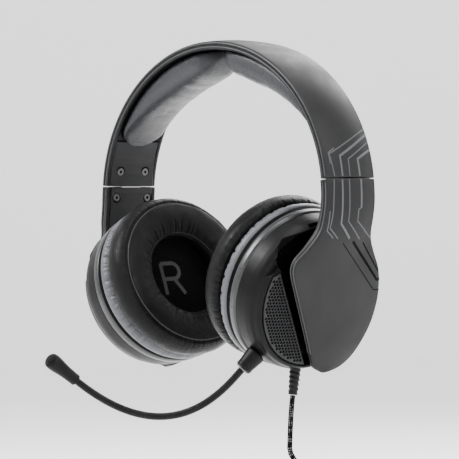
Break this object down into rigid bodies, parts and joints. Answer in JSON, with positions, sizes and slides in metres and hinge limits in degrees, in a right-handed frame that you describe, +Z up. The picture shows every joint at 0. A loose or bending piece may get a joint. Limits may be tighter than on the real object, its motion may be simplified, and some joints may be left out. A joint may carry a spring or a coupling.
{
  "type": "gaming headset",
  "caption": "Over-ear headset with padded arched headband, sliding arms, swivelling closed ear cups, flexible boom microphone and a braided cord ending in an audio plug.",
  "frame": {"origin": "where the crown of the head meets the cushions, under the middle of the headband", "axes": "+Z up, the wearer faces -Y, the wearer's left ear and the microphone are at +X"},
  "size_m": [0.1906, 0.1782, 0.3406],
  "materials": {
    "shell": "soft-touch charcoal",
    "trim": "satin grey",
    "cup_body": "satin dark grey",
    "inner_plastic": "matte black",
    "cushion": "pearl grey leatherette",
    "pad_leather": "black leatherette",
    "pad_trim": "silver grey leatherette",
    "steel": "brushed",
    "mesh": "perforated grey metal",
    "speaker_fabric": "black knit",
    "black_rubber": "matte black",
    "cord_braid": "black braid with grey flecks",
    "contact_metal": "gold plated"
  },
  "bodies": {
    "headband": {"headband_shell": "shell", "headband_liner": "inner_plastic", "headband_spring": "steel", "head_cushion_left": "cushion", "head_cushion_right": "cushion", "band_end_cover_left": "inner_plastic", "band_end_cover_right": "inner_plastic", "band_screw_left_front": "steel", "band_screw_left_rear": "steel", "band_screw_right_front": "steel", "band_screw_right_rear": "steel"},
    "arm_left": {"arm_shell_left": "shell", "arm_inner_cover_left": "inner_plastic", "slider_strip_left": "steel", "yoke_left": "inner_plastic", "arm_screw_left_front": "steel", "arm_screw_left_rear": "steel"},
    "pivot_left": {"pivot_block_left": "inner_plastic"},
    "cup_left": {"cup_shell_left": "cup_body", "cup_ring_left": "trim", "cup_grille_left": "mesh", "baffle_left": "inner_plastic", "driver_frame_left": "inner_plastic", "driver_magnet_left": "steel", "speaker_cloth_left": "speaker_fabric", "pad_ring_left": "pad_trim", "ear_pad_left": "pad_leather", "mic_boot": "inner_plastic", "gooseneck_1": "black_rubber", "cord_gland": "black_rubber", "cord": "cord_braid", "cord_coil": "cord_braid", "coil_tie": "black_rubber", "cord_tail": "cord_braid", "plug_body": "black_rubber", "plug_pin": "contact_metal"},
    "arm_right": {"arm_shell_right": "shell", "arm_inner_cover_right": "inner_plastic", "slider_strip_right": "steel", "yoke_right": "inner_plastic", "arm_screw_right_front": "steel", "arm_screw_right_rear": "steel"},
    "pivot_right": {"pivot_block_right": "inner_plastic"},
    "cup_right": {"cup_shell_right": "cup_body", "cup_ring_right": "trim", "cup_grille_right": "mesh", "baffle_right": "inner_plastic", "driver_frame_right": "inner_plastic", "driver_magnet_right": "steel", "speaker_cloth_right": "speaker_fabric", "pad_ring_right": "pad_trim", "ear_pad_right": "pad_leather"},
    "boom_2": {"gooseneck_2": "black_rubber"},
    "boom_3": {"gooseneck_3": "black_rubber"},
    "boom_tip": {"gooseneck_4": "black_rubber", "mic_housing": "inner_plastic", "mic_capsule": "speaker_fabric"}
  },
  "joints": [
    {"name": "slider_left", "type": "slide", "parent": "headband", "child": "arm_left", "axis": [0.0958, 0, -0.9954], "range_m": [0, 0.018]},
    {"name": "cup_swivel_left", "type": "hinge", "parent": "arm_left", "child": "pivot_left", "pos_m": [0.06988, -0.0055, -0.12861], "axis": [0.3305, 0, 0.9438], "range_deg": [-0.5, 10]},
    {"name": "cup_tilt_left", "type": "hinge", "parent": "pivot_left", "child": "cup_left", "pos_m": [0.06988, -0.0055, -0.12861], "axis": [0.0823, 0.9962, -0.0288], "range_deg": [-3, 3]},
    {"name": "slider_right", "type": "slide", "parent": "headband", "child": "arm_right", "axis": [-0.0958, 0, -0.9954], "range_m": [0, 0.018]},
    {"name": "cup_swivel_right", "type": "hinge", "parent": "arm_right", "child": "pivot_right", "pos_m": [-0.06988, -0.0055, -0.12861], "axis": [0.3305, 0, -0.9438], "range_deg": [-9.5, 1]},
    {"name": "cup_tilt_right", "type": "hinge", "parent": "pivot_right", "child": "cup_right", "pos_m": [-0.06988, -0.0055, -0.12861], "axis": [-0.074, -0.9969, -0.0259], "range_deg": [-3, 3]},
    {"name": "mic_flex", "type": "hinge", "parent": "cup_left", "child": "boom_2", "pos_m": [0.03706, -0.05678, -0.18312], "axis": [-0.885, 0.4656, 0], "range_deg": [-18, 18]},
    {"name": "mic_flex_2", "type": "hinge", "parent": "boom_2", "child": "boom_3", "pos_m": [0.02563, -0.07841, -0.18996], "axis": [-0.8838, 0.4679, 0], "range_deg": [-18, 18]},
    {"name": "mic_flex_3", "type": "hinge", "parent": "boom_3", "child": "boom_tip", "pos_m": [0.01407, -0.10028, -0.18376], "axis": [-0.8844, 0.4667, 0], "range_deg": [-18, 18]}
  ],
  "couplings": [
    {"joint": "mic_flex_2", "follows": "mic_flex", "ratio": 1},
    {"joint": "mic_flex_3", "follows": "mic_flex", "ratio": 1}
  ]
}
